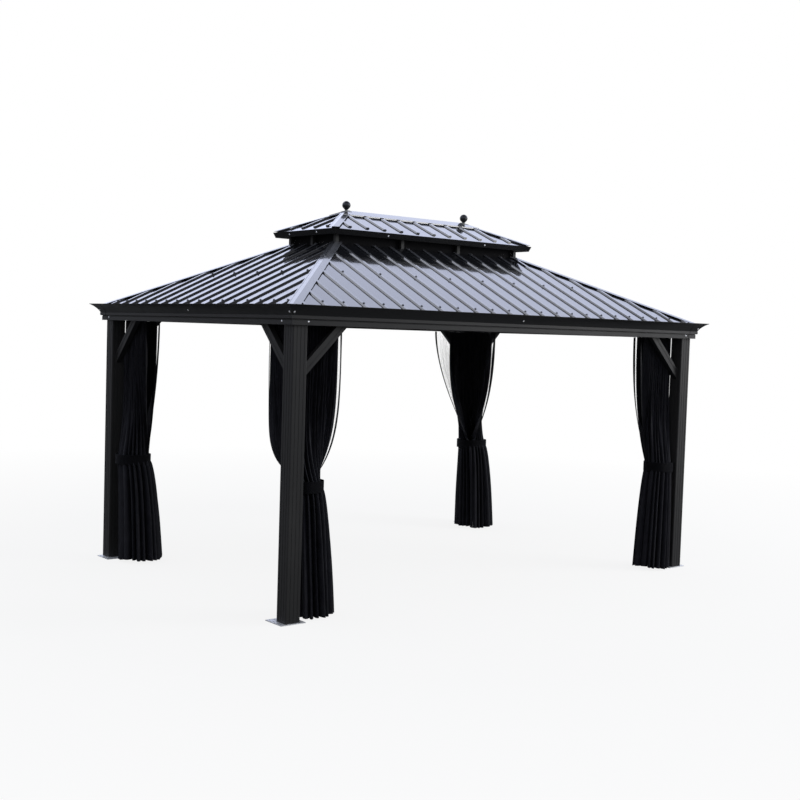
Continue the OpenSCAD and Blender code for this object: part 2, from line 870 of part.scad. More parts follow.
module curtain(corner) {
    top_z = clear_h - curtain_gap;
    head = curtain_head();
    waist = curtain_round(TIES[corner], waist_w * curtain_full[corner]);
    hem = curtain_round(HEMS[corner], hem_w * curtain_full[corner]);
    n = len(head);
    rings = concat(
        [for (i = [0:curtain_rings]) let (t = i / curtain_rings)
            blend(head, waist, (1 - cos(180 * t)) / 2, top_z + (tie_h - top_z) * t)],
        [for (i = [1:hem_rings]) let (t = i / hem_rings)
            blend(waist, hem, sin(90 * t), tie_h + (hem_up - tie_h) * t)]
    );
    last = len(rings) - 1;
    color(curtain_colour)
        at_corner(corner, post_x - post_w / 2, post_y - post_w / 2)
            polyhedron(
                points = [for (ring = rings) each ring],
                faces = concat(
                    [for (j = [0:n / 2 - 2]) [n - 1 - j, n - 2 - j, j + 1, j]],
                    [for (i = [0:last - 1], j = [0:n - 1]) let (u = i * n + j, v = i * n + (j + 1) % n)
                        each [[u, v, v + n], [u, v + n, u + n]]],
                    [for (j = [0:n / 2 - 2]) [j, j + 1, n - 2 - j, n - 1 - j] + last * n * [1, 1, 1, 1]]
                )
            );
}

base_plate(0);  // front_left_base_plate
base_plate(1);  // front_right_base_plate
base_plate(2);  // back_right_base_plate
base_plate(3);  // back_left_base_plate
post(0);  // front_left_post
post(1);  // front_right_post
post(2);  // back_right_post
post(3);  // back_left_post
beam(turn("front"));  // front_beam
beam(turn("right"));  // right_beam
beam(turn("back"));  // back_beam
beam(turn("left"));  // left_beam
beam_splices();
corner_covers();
knee_braces(0);  // front_left_knee_braces
knee_braces(1);  // front_right_knee_braces
knee_braces(2);  // back_right_knee_braces
knee_braces(3);  // back_left_knee_braces
curtain_rails();
hip_rafters();
long_side_rafters();
short_side_rafters();
purlins();
main_slope(turn("front"));  // front_roof
main_slope(turn("right"));  // right_roof
main_slope(turn("back"));  // back_roof
main_slope(turn("left"));  // left_roof
hip_caps();
vent_sill();
vent_posts();
vent_head();
ridge_beam();
upper_hip_rafters();
upper_slope(turn("front"));  // upper_front_roof
upper_slope(turn("right"));  // upper_right_roof
upper_slope(turn("back"));  // upper_back_roof
upper_slope(turn("left"));  // upper_left_roof
upper_eave_trims();
upper_hip_caps();
ridge_cap();
finials();
curtain(0);  // front_left_curtain
curtain(1);  // front_right_curtain
curtain(2);  // back_right_curtain
curtain(3);  // back_left_curtain
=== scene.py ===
# Hardtop garden gazebo: a charcoal aluminium frame under a double hipped roof of ribbed steel sheet,
# with black curtains and insect nets tied back beside its posts. Metres, X along the long side, Z up.
import math
import random

import bmesh
import bpy
from mathutils import Matrix, Vector
from mathutils.bvhtree import BVHTree


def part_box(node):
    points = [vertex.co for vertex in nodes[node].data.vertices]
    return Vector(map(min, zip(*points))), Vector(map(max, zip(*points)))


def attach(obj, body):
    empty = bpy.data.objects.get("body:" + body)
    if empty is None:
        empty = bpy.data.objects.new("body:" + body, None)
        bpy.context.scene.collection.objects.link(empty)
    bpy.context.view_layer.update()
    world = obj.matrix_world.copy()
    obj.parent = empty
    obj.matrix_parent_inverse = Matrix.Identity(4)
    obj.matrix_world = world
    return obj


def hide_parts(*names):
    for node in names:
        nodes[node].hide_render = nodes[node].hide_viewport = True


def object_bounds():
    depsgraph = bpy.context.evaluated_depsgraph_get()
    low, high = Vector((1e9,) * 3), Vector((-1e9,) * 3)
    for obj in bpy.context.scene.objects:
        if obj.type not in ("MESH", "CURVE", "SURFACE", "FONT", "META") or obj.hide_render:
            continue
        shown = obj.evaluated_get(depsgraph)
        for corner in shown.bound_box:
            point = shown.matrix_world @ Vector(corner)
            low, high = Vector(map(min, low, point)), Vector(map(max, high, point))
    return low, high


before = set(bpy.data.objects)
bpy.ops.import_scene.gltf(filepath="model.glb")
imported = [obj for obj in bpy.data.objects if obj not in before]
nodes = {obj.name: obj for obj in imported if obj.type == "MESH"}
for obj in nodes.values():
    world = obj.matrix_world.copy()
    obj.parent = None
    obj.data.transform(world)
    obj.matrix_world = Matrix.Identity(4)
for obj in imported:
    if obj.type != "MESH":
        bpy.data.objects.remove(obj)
cad_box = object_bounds()


# Posts, gutter beams, braces, rails and roof bars: aluminium extrusions, sawn to length, screwed together
# and powder coated in one satin charcoal. Rain draws dust down the coat, and faces turned down stay clean.
COAT_COLOUR = (0.0115, 0.012, 0.013, 1)
COAT_DUST = (0.062, 0.06, 0.057, 1)
COAT_FILM = dict(amount=0.14, haze=0.3, roughness=0.42, peel=420.0, bump=0.00008)
COAT_SPECULAR = 0.14
PEEL_DETAIL = 2.0
# Streaks and clouds of dust are noise, given by scale, detail and roughness. Both have to be high for dust
# to show, and the face's normal has to point high enough to hold it
RAIN_STRETCH = (9.0, 9.0, 0.9)
STREAKS = (1.6, 6.0, 0.62)
CLOUDS = (2.3, 4.0, 0.55)
DUST_SHOWS = (0.2, 0.46)
DUST_HOLDS = (-0.3, -0.05)
DUST_DULLS = 0.12

CORNERS = {"front_left": (-1, -1), "front_right": (1, -1), "back_right": (1, 1), "back_left": (-1, 1)}
SIDES = ("front", "right", "back", "left")


def fill(node, inputs):
    """Sets a node's inputs to the values given, or links them to the sockets given."""
    for name, value in inputs.items():
        if isinstance(value, bpy.types.NodeSocket):
            node.id_data.links.new(value, node.inputs[name])
        else:
            node.inputs[name].default_value = value


def place(tree, kind, inputs=None, **settings):
    """Adds a shader node with its settings and inputs."""
    node = tree.nodes.new(kind)
    for name, value in settings.items():
        setattr(node, name, value)
    fill(node, inputs or {})
    return node


def on_piece(tree):
    """Object coordinates: metres in the gazebo's own frame."""
    return place(tree, "ShaderNodeTexCoord").outputs["Object"]


def axis_of(tree, vector, axis):
    return place(tree, "ShaderNodeSeparateXYZ", {"Vector": vector}).outputs[axis]


def reckon(tree, operation, *terms):
    """Works out one value from sockets and numbers."""
    return place(tree, "ShaderNodeMath", dict(enumerate(terms)), operation=operation).outputs[0]


def ramp(tree, value, ends, low=0.0, high=1.0):
    """Goes from low to high as the value goes from the first of the ends to the second."""
    inputs = {"Value": value, "From Min": ends[0], "From Max": ends[1], "To Min": low, "To Max": high}
    return place(tree, "ShaderNodeMapRange", inputs).outputs[0]


def mottle(tree, at, per_metre, detail, roughness=0.5):
    inputs = {"Vector": at, "Scale": per_metre, "Detail": detail, "Roughness": roughness}
    return place(tree, "ShaderNodeTexNoise", inputs).outputs["Fac"]


def two_tone(tree, share, first, second):
    """Mixes two colours, which are sockets 6 and 7 of the node, from the first at 0 to the second at 1."""
    inputs = {"Factor": share, 6: first, 7: second}
    return place(tree, "ShaderNodeMix", inputs, data_type="RGBA").outputs[2]


def new_group(name, inputs, outputs):
    """A shader node group with named sockets, the sockets of its inputs, and its output node."""
    tree = bpy.data.node_groups.new(name, "ShaderNodeTree")
    for sockets, way in ((inputs, "INPUT"), (outputs, "OUTPUT")):
        for label, kind in sockets.items():
            tree.interface.new_socket(label, in_out=way, socket_type="NodeSocket" + kind)
    return tree, tree.nodes.new("NodeGroupInput").outputs, tree.nodes.new("NodeGroupOutput")


def new_material(name):
    material = bpy.data.materials.new(name)
    material.use_nodes = True
    tree = material.node_tree
    return material, tree, tree.nodes["Principled BSDF"]


paint_film, film_in, film_out = new_group(
    "paint film",
    {"Colour": "Color", "Dust": "Color", "Dust amount": "Float", "Haze": "Float", "Roughness": "Float",
     "Peel per metre": "Float"},
    {"Colour": "Color", "Roughness": "Float", "Peel": "Float"},
)
film_at = on_piece(paint_film)
film_peel = mottle(paint_film, film_at, film_in["Peel per metre"], PEEL_DETAIL)
film_run = place(paint_film, "ShaderNodeMapping", {"Vector": film_at, "Scale": RAIN_STRETCH})
film_streaks = mottle(paint_film, film_run.outputs["Vector"], *STREAKS)
film_clouds = mottle(paint_film, film_at, *CLOUDS)
film_mask = ramp(paint_film, reckon(paint_film, "MULTIPLY", film_streaks, film_clouds), DUST_SHOWS)
film_even = reckon(paint_film, "MULTIPLY_ADD", film_mask, film_in["Dust amount"], film_in["Haze"])
film_faces = place(paint_film, "ShaderNodeNewGeometry").outputs["True Normal"]
film_holds = ramp(paint_film, axis_of(paint_film, film_faces, "Z"), DUST_HOLDS)
film_dust = reckon(paint_film, "MULTIPLY", film_even, film_holds)
fill(film_out, {
    "Colour": two_tone(paint_film, film_dust, film_in["Colour"], film_in["Dust"]),
    "Roughness": reckon(paint_film, "MULTIPLY_ADD", film_mask, DUST_DULLS, film_in["Roughness"]),
    "Peel": film_peel,
})


def painted(tree, shader, colour, dust, amount, roughness, peel, bump, haze=0.0):
    """Gives a material the paint film: an amount of streaked dust over an even haze of it, a roughness, and
    a peel of so many grains a metre and of the bump's depth. Returns its colour and its normal."""
    film = place(
        tree, "ShaderNodeGroup",
        {"Colour": colour, "Dust": dust, "Dust amount": amount, "Haze": haze, "Roughness": roughness,
         "Peel per metre": peel},
        node_tree=paint_film,
    )
    skin = place(tree, "ShaderNodeBump", {"Height": film.outputs["Peel"], "Distance": bump})
    tone, normal = film.outputs["Colour"], skin.outputs["Normal"]
    fill(shader, {"Base Color": tone, "Roughness": film.outputs["Roughness"], "Normal": normal})
    return tone, normal


def dress(names, material):
    """Puts a material on solids of the frame."""
    for name in names:
        slots = nodes[name].data.materials
        slots.clear()
        slots.append(material)


frame_coat, tree, shader = new_material("charcoal powder coat")
painted(tree, shader, COAT_COLOUR, COAT_DUST, **COAT_FILM)
fill(shader, {"Specular IOR Level": COAT_SPECULAR})
dress([corner + piece for corner in CORNERS for piece in ("_post", "_knee_braces")], frame_coat)
dress([side + "_beam" for side in SIDES], frame_coat)
dress(
    [
        "beam_splices", "corner_covers", "curtain_rails", "hip_rafters", "long_side_rafters",
        "short_side_rafters", "purlins", "vent_sill", "vent_posts", "vent_head", "ridge_beam",
        "upper_hip_rafters",
    ],
    frame_coat,
)


# Base plates: 6 mm steel squares with four anchor holes, set inwards under the posts. They are hot-dip
# galvanised, so the bare zinc shows its crystals and a dull bloom.
ZINC_COLOURS = ((0.86, 0.865, 0.87, 1), (0.68, 0.685, 0.69, 1))
ZINC_CRYSTALS_PER_METRE = 75.0
ZINC_METAL = 0.6
ZINC_ROUGHNESS = (0.34, 0.6)
BLOOM = (14.0, 5.0)
BLOOM_SHOWS = (0.3, 0.7)

zinc, tree, shader = new_material("galvanised zinc")
at = on_piece(tree)
crystals = place(tree, "ShaderNodeTexVoronoi", {"Vector": at, "Scale": ZINC_CRYSTALS_PER_METRE})
fill(shader, {
    "Base Color": two_tone(tree, crystals.outputs["Color"], *ZINC_COLOURS),
    "Roughness": ramp(tree, mottle(tree, at, *BLOOM), BLOOM_SHOWS, *ZINC_ROUGHNESS),
    "Metallic": ZINC_METAL,
})
dress([corner + "_base_plate" for corner in CORNERS], zinc)


# Roof sheets: thin galvanised steel rolled with trapezoid ribs and painted charcoal under a clear gloss. The
# pans are never quite flat, so what they reflect wavers. The rib tops are coloured lighter than the pans:
# partly a dry film of dust, partly a painted highlight along each rib.
SHEET_COLOUR = (0.013, 0.0138, 0.0165, 1)
SHEET_DUST = (0.055, 0.056, 0.06, 1)
SHEET_FILM = dict(amount=0.1, roughness=0.09, peel=520.0, bump=0.00003)
SHEET_GLOSS = {"Coat Weight": 1.0, "Coat Roughness": 0.05}
SHEET_WAVES_PER_METRE = 2.2
SHEET_WAVE_DEPTH = 0.0015
WAVE_DETAIL = 1.0
# Rib-top colour, lighter than the pans: partly dust, partly a painted highlight along each rib
RIB_TOP_HIGHLIGHT_AND_DUST_COLOUR = (0.085, 0.088, 0.1, 1)
# How far below the rib's top its dust and painted highlight begin and are full
RIB_TOP_HIGHLIGHT_AND_DUST_DEPTHS = (0.006, 0.002)
# The cornice's lip line along X and Y, and the pitch of each roof with the height of its pans at that line,
# where the upper roof's slopes are carried on down to it
LIP_LINE = (cad_box[1][0], cad_box[1][1])
PITCH = math.radians(25.5)
PAN_Z = 2.066
UPPER_PITCH = math.radians(23)
UPPER_PAN_Z = 2.2724
RIB_H = 0.011
RIB_RISE = RIB_H / math.cos(PITCH)

# A mask of the rib tops, where the dust and the painted highlight go
rib_highlight_film, rib_in, rib_out = new_group(
    "rib top highlight and dust", {"Height at lip line": "Float", "Slope": "Float"}, {"Rib top": "Float"},
)
rib_at = on_piece(rib_highlight_film)
rib_sides = place(rib_highlight_film, "ShaderNodeVectorMath", {0: rib_at}, operation="ABSOLUTE")
rib_inward = place(
    rib_highlight_film, "ShaderNodeVectorMath", {0: (*LIP_LINE, 0.0), 1: rib_sides.outputs[0]}, operation="SUBTRACT",
).outputs[0]
rib_nearest = reckon(
    rib_highlight_film, "MINIMUM", axis_of(rib_highlight_film, rib_inward, "X"), axis_of(rib_highlight_film, rib_inward, "Y"),
)
rib_pan = reckon(rib_highlight_film, "MULTIPLY_ADD", rib_nearest, rib_in["Slope"], rib_in["Height at lip line"])
rib_above = reckon(rib_highlight_film, "SUBTRACT", axis_of(rib_highlight_film, rib_at, "Z"), rib_pan)
fill(rib_out, {"Rib top": ramp(rib_highlight_film, rib_above, [RIB_RISE - below for below in RIB_TOP_HIGHLIGHT_AND_DUST_DEPTHS])})


def wavy(tree, shader, skin, per_metre, depth):
    """Adds the shallow waves of thin sheet to the normal of a paint's skin."""
    waves = mottle(tree, on_piece(tree), per_metre, WAVE_DETAIL)
    dents = place(tree, "ShaderNodeBump", {"Height": waves, "Distance": depth, "Normal": skin})
    fill(shader, {"Normal": dents.outputs["Normal"]})


def sheet_paint(name, lip_height, slope):
    material, tree, shader = new_material(name)
    film, skin = painted(tree, shader, SHEET_COLOUR, SHEET_DUST, **SHEET_FILM)
    wavy(tree, shader, skin, SHEET_WAVES_PER_METRE, SHEET_WAVE_DEPTH)
    ribs = place(
        tree, "ShaderNodeGroup", {"Height at lip line": lip_height, "Slope": slope}, node_tree=rib_highlight_film,
    )
    # The rib tops take the lighter colour: dust and painted highlight together
    tone = two_tone(tree, ribs.outputs["Rib top"], film, RIB_TOP_HIGHLIGHT_AND_DUST_COLOUR)
    fill(shader, {"Base Color": tone, **SHEET_GLOSS})
    return material


roof_paint = sheet_paint("semi-gloss roof paint", PAN_Z, math.tan(PITCH))
upper_roof_paint = sheet_paint("semi-gloss upper roof paint", UPPER_PAN_Z, math.tan(UPPER_PITCH))
dress([side + "_roof" for side in SIDES], roof_paint)
dress(["upper_" + side + "_roof" for side in SIDES], upper_roof_paint)


# Hip caps and ridge cap: folded from flat steel sheet with hemmed edges, in a paler gloss paint than the
# rolled panels. They sit on the rib tops and close the joints between the slopes.
CAP_COLOUR = (0.12, 0.125, 0.142, 1)
CAP_DUST = (0.16, 0.16, 0.165, 1)
CAP_FILM = dict(amount=0.3, roughness=0.1, peel=600.0, bump=0.00003)
CAP_GLOSS = {"Coat Weight": 0.95, "Coat Roughness": 0.06}
CAP_WAVES_PER_METRE = 5.0
CAP_WAVE_DEPTH = 0.0006

cap_paint, tree, shader = new_material("gloss cap paint")
_, skin = painted(tree, shader, CAP_COLOUR, CAP_DUST, **CAP_FILM)
wavy(tree, shader, skin, CAP_WAVES_PER_METRE, CAP_WAVE_DEPTH)
fill(shader, CAP_GLOSS)
dress(["hip_caps", "upper_hip_caps", "ridge_cap"], cap_paint)


# Upper eave trims: satin black angles folded from sheet and screwed round the edge of the upper roof. They
# hide the ends of its sheets.
TRIM_COLOUR = (0.004, 0.0042, 0.005, 1)
TRIM_FILM = dict(amount=0.05, roughness=0.38, peel=480.0, bump=0.00005)
TRIM_SPECULAR = 0.12

trim_paint, tree, shader = new_material("satin trim paint")
painted(tree, shader, TRIM_COLOUR, SHEET_DUST, **TRIM_FILM)
fill(shader, {"Specular IOR Level": TRIM_SPECULAR})
dress(["upper_eave_trims"], trim_paint)


# Finials: spun aluminium drops, coated dark, each screwed to a folded saddle plate of bare grey sheet that
# sits across the end of the ridge cap.
DROP_COLOUR = (0.008, 0.0085, 0.0105, 1)
DROP_FILM = dict(amount=0.1, roughness=0.3, peel=420.0, bump=0.00006)
DROP_SPECULAR = 0.35
SADDLE_COLOUR = (0.17, 0.175, 0.165, 1)
SADDLE_RISE = 0.004
SADDLE_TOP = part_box("ridge_cap")[1][2] + SADDLE_RISE

finial_coat, tree, shader = new_material("finial coat")
film, _ = painted(tree, shader, DROP_COLOUR, COAT_DUST, **DROP_FILM)
saddle = reckon(tree, "LESS_THAN", axis_of(tree, on_piece(tree), "Z"), SADDLE_TOP)
fill(shader, {
    "Base Color": two_tone(tree, saddle, film, SADDLE_COLOUR),
    "Specular IOR Level": DROP_SPECULAR,
})
dress(["finials"], finial_coat)


# Roof screws: painted hexagon heads on round washers, driven through every rib top into the beam's roof
# seat, into every second rib at the purlin, and again at the vent sill.
SCREW_COLOUR = (0.03, 0.031, 0.035, 1)
SCREW_FILM = dict(amount=0.3, roughness=0.38, peel=900.0, bump=0.00003)
# Washer and head, as the radius at the foot and the top, the height and the number of sides
SCREW_STACK = ((0.011, 0.00946, 0.002, 12), (0.00558, 0.00486, 0.006, 6))
# Rows of screws, as the distance in from the lip line, and 1 for every rib or 2 for every second one
SCREW_ROWS = ((0.145, 1), (0.64, 2), (1.17, 2))
RIB_PITCH = 0.171
HIP_CLEAR = 0.09


def standing(point, normal):
    """The place of something that stands on a face."""
    turn = Vector((0, 0, 1)).rotation_difference(normal)
    return Matrix.Translation(point) @ turn.to_matrix().to_4x4()


def add_screw(bm, point, normal):
    foot = 0.0
    for foot_r, top_r, rise, sides in SCREW_STACK:
        bmesh.ops.create_cone(
            bm, cap_ends=True, segments=sides, radius1=foot_r, radius2=top_r, depth=rise,
            matrix=standing(point, normal) @ Matrix.Translation((0, 0, foot + rise / 2)),
        )
        foot += rise


def finish_piece(name, bm, material):
    """Makes a mesh into a piece of the gazebo."""
    mesh = bpy.data.meshes.new(name)
    bm.to_mesh(mesh)
    bm.free()
    piece = bpy.data.objects.new(name, mesh)
    bpy.context.scene.collection.objects.link(piece)
    mesh.materials.append(material)
    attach(piece, "root")
    return piece


def side_turn(side):
    """The turn from the front to a side, in the order of SIDES."""
    return Matrix.Rotation(math.radians(90 * side), 3, "Z")


def side_point(side, along, inward, height):
    """A point given along a side, in from the cornice's lip line, and up."""
    return side_turn(side) @ Vector((along, inward - LIP_LINE[1 - side % 2], height))


screw_paint, tree, shader = new_material("painted screw heads")
painted(tree, shader, SCREW_COLOUR, SHEET_DUST, **SCREW_FILM)

bm = bmesh.new()
for side in range(len(SIDES)):
    normal = side_turn(side) @ Vector((0, -math.sin(PITCH), math.cos(PITCH)))
    for inward, step in SCREW_ROWS:
        height = PAN_Z + RIB_RISE + inward * math.tan(PITCH)
        ribs = int((LIP_LINE[side % 2] - inward - HIP_CLEAR) / RIB_PITCH + 0.5)
        for rib in range(-ribs, ribs):
            if rib % step == 0:
                add_screw(bm, side_point(side, (rib + 0.5) * RIB_PITCH, inward, height), normal)
finish_piece("roof_screws", bm, screw_paint)


# Frame screws: zinc-plated domed heads that hold the corner covers, the beams over the posts, the joint in
# each beam and the upper eave trims. They are left bright, so they show as small dots.
DOME_R = 0.0075
DOME_RISE = 0.004
DOME_GRID = (12, 8)
# Screws at both ends of each side, as the distance in from the lip line's corner and the height
COVER_SCREW = (0.08, 2.068)
BAND_SCREW = (0.208, 2.009)
# The joint from the middle of its side, and its screw as the distance past the joint and the height
BEAM_JOINT = 0.052
JOINT_SCREW = (0.035, 2.072)
# Trim screws, as the distance from the middle of a long and a short side, and the height
TRIM_SCREW_ALONG = (0.516, 0.192)
TRIM_SCREW_Z = 2.717
# How far outside the lip line the search for each screw's face begins
SEARCH_OUT = 0.3

bm = bmesh.new()
carriers = []
for name in ["corner_covers", "upper_eave_trims"] + [side + "_beam" for side in SIDES]:
    shape = bmesh.new()
    shape.from_mesh(nodes[name].data)
    carriers.append(BVHTree.FromBMesh(shape))
    shape.free()
for side in range(len(SIDES)):
    joint = BEAM_JOINT if side % 2 else -BEAM_JOINT
    places = [(joint + JOINT_SCREW[0], JOINT_SCREW[1])]
    for end in (-1, 1):
        for corner_in, height in (COVER_SCREW, BAND_SCREW):
            places.append((end * (LIP_LINE[side % 2] - corner_in), height))
        places.append((end * TRIM_SCREW_ALONG[side % 2], TRIM_SCREW_Z))
    inward = side_turn(side) @ Vector((0, 1, 0))
    for along, height in places:
        start = side_point(side, along, -SEARCH_OUT, height)
        hits = [carrier.ray_cast(start, inward) for carrier in carriers]
        point, normal, _, _ = min((hit for hit in hits if hit[0]), key=lambda hit: hit[3])
        bmesh.ops.create_uvsphere(
            bm, u_segments=DOME_GRID[0], v_segments=DOME_GRID[1], radius=DOME_R,
            matrix=standing(point, normal) @ Matrix.Diagonal((1, 1, DOME_RISE / DOME_R, 1)),
        )
finish_piece("frame_screws", bm, zinc)


# Vent screens: close black mesh stretched behind the vent posts on all four sides and held to the sill
# and the head, with the short ones lapped at the corners. It lets the warm air out and keeps leaves out. It
# is knit closer than a real screen, so it stays black: partly painted shade for the dark space under the
# upper roof.
SCREEN_IN = 0.0315
SCREEN_GAP = 0.0005
SCREEN_LAP = 0.015
SCREEN_BELLY = 0.004
SCREEN_GRID = (32, 8)
SCREEN_THREADS_PER_METRE = 900.0
# Threads this wide close the mesh nearly shut, so its black stands in for the shade behind the vent: painted
# shade
SCREEN_HALF_THREAD = 0.44
SCREEN_COLOURS = ((0.003, 0.003, 0.004, 1), (0.009, 0.009, 0.01, 1))
SCREEN_FINISH = {"Roughness": 0.8, "Specular IOR Level": 0.1}
GRIME = (9.0, 5.0)


def on_cut(tree):
    """The place on a sheet as it was cut, in metres."""
    return place(tree, "ShaderNodeUVMap", uv_map="cut").outputs["UV"]


net_mesh, mesh_in, mesh_out = new_group(
    "net mesh", {"Threads per metre": "Float", "Half thread": "Float"}, {"Thread": "Float"},
)
mesh_holes = place(
    net_mesh, "ShaderNodeTexBrick",
    {"Vector": on_cut(net_mesh), "Scale": mesh_in["Threads per metre"],
     "Mortar Size": mesh_in["Half thread"], "Brick Width": 1.0, "Row Height": 1.0},
    offset=0.0,
)
fill(mesh_out, {"Thread": mesh_holes.outputs["Fac"]})


def knitted(tree, per_metre, half_thread):
    """The threads of a net, with half a thread's width as a share of the pitch."""
    inputs = {"Threads per metre": per_metre, "Half thread": half_thread}
    return place(tree, "ShaderNodeGroup", inputs, node_tree=net_mesh).outputs["Thread"]


def flat_sheet(grid, cut, up=1):
    """A flat grid of one unit, with its cut measured up from its bottom edge, or down from its top."""
    bm = bmesh.new()
    uv = bm.loops.layers.uv.new("cut")
    bmesh.ops.create_grid(bm, x_segments=grid[0], y_segments=grid[1], size=0.5)
    for face in bm.faces:
        face.smooth = True
        for loop in face.loops:
            loop[uv].uv = ((loop.vert.co.x + 0.5) * cut[0], (0.5 + up * loop.vert.co.y) * cut[1])
    return bm


vent_mesh_as_painted_shade, tree, shader = new_material("black vent mesh as painted shade")
grime = mottle(tree, on_piece(tree), *GRIME)
fill(shader, {
    "Base Color": two_tone(tree, grime, *SCREEN_COLOURS),
    "Alpha": knitted(tree, SCREEN_THREADS_PER_METRE, SCREEN_HALF_THREAD),
    **SCREEN_FINISH,
})

low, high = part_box("vent_posts")
tall = high[2] - low[2] - 2 * SCREEN_GAP
for side, word in enumerate(SIDES):
    wide = 2 * (high[side % 2] - SCREEN_IN + (SCREEN_LAP if side % 2 else 0))
    reach = high[1 - side % 2] - SCREEN_IN
    bm = flat_sheet(SCREEN_GRID, (wide, tall))
    for vert in bm.verts:
        u, v = vert.co.x, vert.co.y
        belly = SCREEN_BELLY * (1 - 4 * u * u) * (1 - 4 * v * v)
        height = low[2] + SCREEN_GAP + (v + 0.5) * tall
        vert.co = side_turn(side) @ Vector((wide * u, belly - reach, height))
    screen = finish_piece(word + "_vent_screen", bm, vent_mesh_as_painted_shade)


# Curtains: black polyester panels on runners under the rails, two to a corner, tied together beside the post
# and made here as one cloth. It hangs in pleats from the two rails, is gathered at the tie and falls full.
CURTAIN_CUT = (3.2, 1.94)
HEADING_W = 0.045
HEADING_GAP = 0.0005
HEM_TURN = 0.04
SIDE_TURN = 0.02
HEM_Z = 0.022
TRACK_IN = 0.014
CORNER_IN = 0.001
WAIST_W = 0.25
HEM_W = 0.35
SPREAD = 0.5
CURTAIN_INSIDE = 0.010
CURTAIN_ROWS = 84
CURTAIN_PLEATS = 28
COLUMNS_PER_PLEAT = 12
PLEAT_TOP = 0.015
PLEAT_MIDDLE = 0.032
LOBES = 19
LOBE_WAIST = 0.066
LOBE_HEM = 0.076
LOBE_ROUND = 0.55
SWELL = 0.014
HEM_SWAY = 0.008
HEM_SWAYS = 1.65
HEM_UNEVEN = 0.006
FOLD_DEPTHS = (0.35, 1.5)
DRIFT_TURN = 9
PATH_STEP = 0.004
# Share of a leg's cloth, from its edge, that lies flat over a larger share of the leg's reach
FLAT_EDGE = (0.03, 0.1)
# Middle of each bundle at its tie and at its hem, inwards from the post along the long and the short side,
# then its fullness and the height of its tie
BUNDLES = {
    "front_left": (Vector((0.120, 0.030)), Vector((0.185, 0.020)), 0.90, 0.90),
    "front_right": (Vector((0.127, -0.020)), Vector((0.175, -0.025)), 0.95, 0.88),
    "back_right": (Vector((0.087, 0.160)), Vector((0.090, 0.240)), 1.15, 0.855),
    "back_left": (Vector((0.020, 0.148)), Vector((0.060, 0.225)), 1.10, 0.845),
}
# How far each curtain reaches along the long and the short rail, and how late those two legs draw in
CURTAIN_LEGS = {
    "front_left": ((0.34, 0.36), (5.5, 11.0)),
    "front_right": ((0.35, 0.37), (2.2, 2.6)),
    "back_right": ((0.30, 0.335), (3.2, 3.2)),
    "back_left": ((0.285, 0.35), (2.4, 2.4)),
}
# Changes across the cloth's width: where one leg passes into the other. Along a leg from the post: where the
# cloth bends on to its track, and where the post no longer holds it flat. From a leg's edge: its first pleat
LEGS_MEET = (0.35, 0.65)
TRACK_BEND = (0.0, 1 / 6)
POST_HOLDS = (0.0, 0.125)
EDGE_HOLDS = (0.0, 0.025)
# Changes down from the rail, as shares of the way to the tie, and then down from the tie to the floor
PLEATS_OPEN = (0.0, 0.25)
PLEATS_MERGE = (0.2, 0.9)
POST_FREES = (0.3, 0.8)
LOBES_OPEN = (0.0, 0.4)
SWELL_GROWS = (0.0, 2 / 3)
SWAY_GROWS = (0.0, 1.0)
# What makes the folds uneven, each as a number of sine waves, how often they come and how strong they are:
# depth, place, drift down the cloth, swelling below the tie, and the hem's line
FOLD_WAVES = (
    (4, (1.5, 7.5), (0.12, 0.36)),
    (3, (2.5, 6.5), (0.5, 1.2)),
    (3, (0.4, 1.6), (0.2, 0.6)),
    (3, (3.0, 9.0), (0.3, 0.7)),
    (3, (2.0, 8.0), (0.2, 0.5)),
)


def eased(value, ends):
    """Rises smoothly from 0 at the first of the ends to 1 at the second."""
    t = min(max((value - ends[0]) / (ends[1] - ends[0]), 0.0), 1.0)
    return t * t * (3 - 2 * t)


def mix(a, b, t):
    return a + (b - a) * t


def round_bundle(s, middle, radius):
    """A point round a bundle, from its side in the room past the long rail, the post and the short rail."""
    turn = math.pi / 4 - 2 * math.pi * s
    return middle + radius * Vector((math.cos(turn), math.sin(turn)))


def rail_path(s, reach):
    """A point under the two rails, from the flat edge of one leg past the post to the edge of the other."""
    leg, way = abs(1 - 2 * s), 0 if s < 0.5 else 1
    edge, flat = FLAT_EDGE
    laid = 1 - flat * (1 - leg) / edge if leg > 1 - edge else leg * (1 - flat) / (1 - edge)
    point = Vector((1, 1)) * mix(CORNER_IN, TRACK_IN, eased(leg, TRACK_BEND))
    point[way] = mix(CORNER_IN, reach[way], laid)
    return point


def cloth_path(s, z, top_z, legs, bundle, inside):
    """The line that the folds of a cloth follow at one height, in plan from the post's inner corner."""
    reach, late = legs
    tie, hem, full, tie_z = bundle
    waist = round_bundle(s, tie, WAIST_W / 2 * full - inside)
    if z > tie_z:
        lateness = mix(*late, eased(s, LEGS_MEET))
        return rail_path(s, reach).lerp(waist, ((top_z - z) / (top_z - tie_z)) ** lateness)
    below = ((tie_z - z) / (tie_z - HEM_Z)) ** SPREAD
    return waist.lerp(round_bundle(s, hem, HEM_W / 2 * full - inside), below)


def beside_post(corner):
    """Turns a place in plan, inwards from a post's inner corner, and a height into X, Y and Z."""
    sx, sy = CORNERS[corner]
    low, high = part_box(corner + "_post")
    start = Vector((high[0] if sx < 0 else low[0], high[1] if sy < 0 else low[1]))
    return lambda point, z: (start.x - sx * point.x, start.y - sy * point.y, z)


def some_waves(draw, count, often, strong):
    """A few sine waves of mixed length, start and strength, as the function of a place from 0 to 1."""
    waves = [
        (draw.uniform(*often), draw.uniform(0, 2 * math.pi), draw.uniform(*strong)) for _ in range(count)
    ]
    return lambda s, start=0.0: sum(a * math.sin(2 * math.pi * f * s + p + start) for f, p, a in waves)


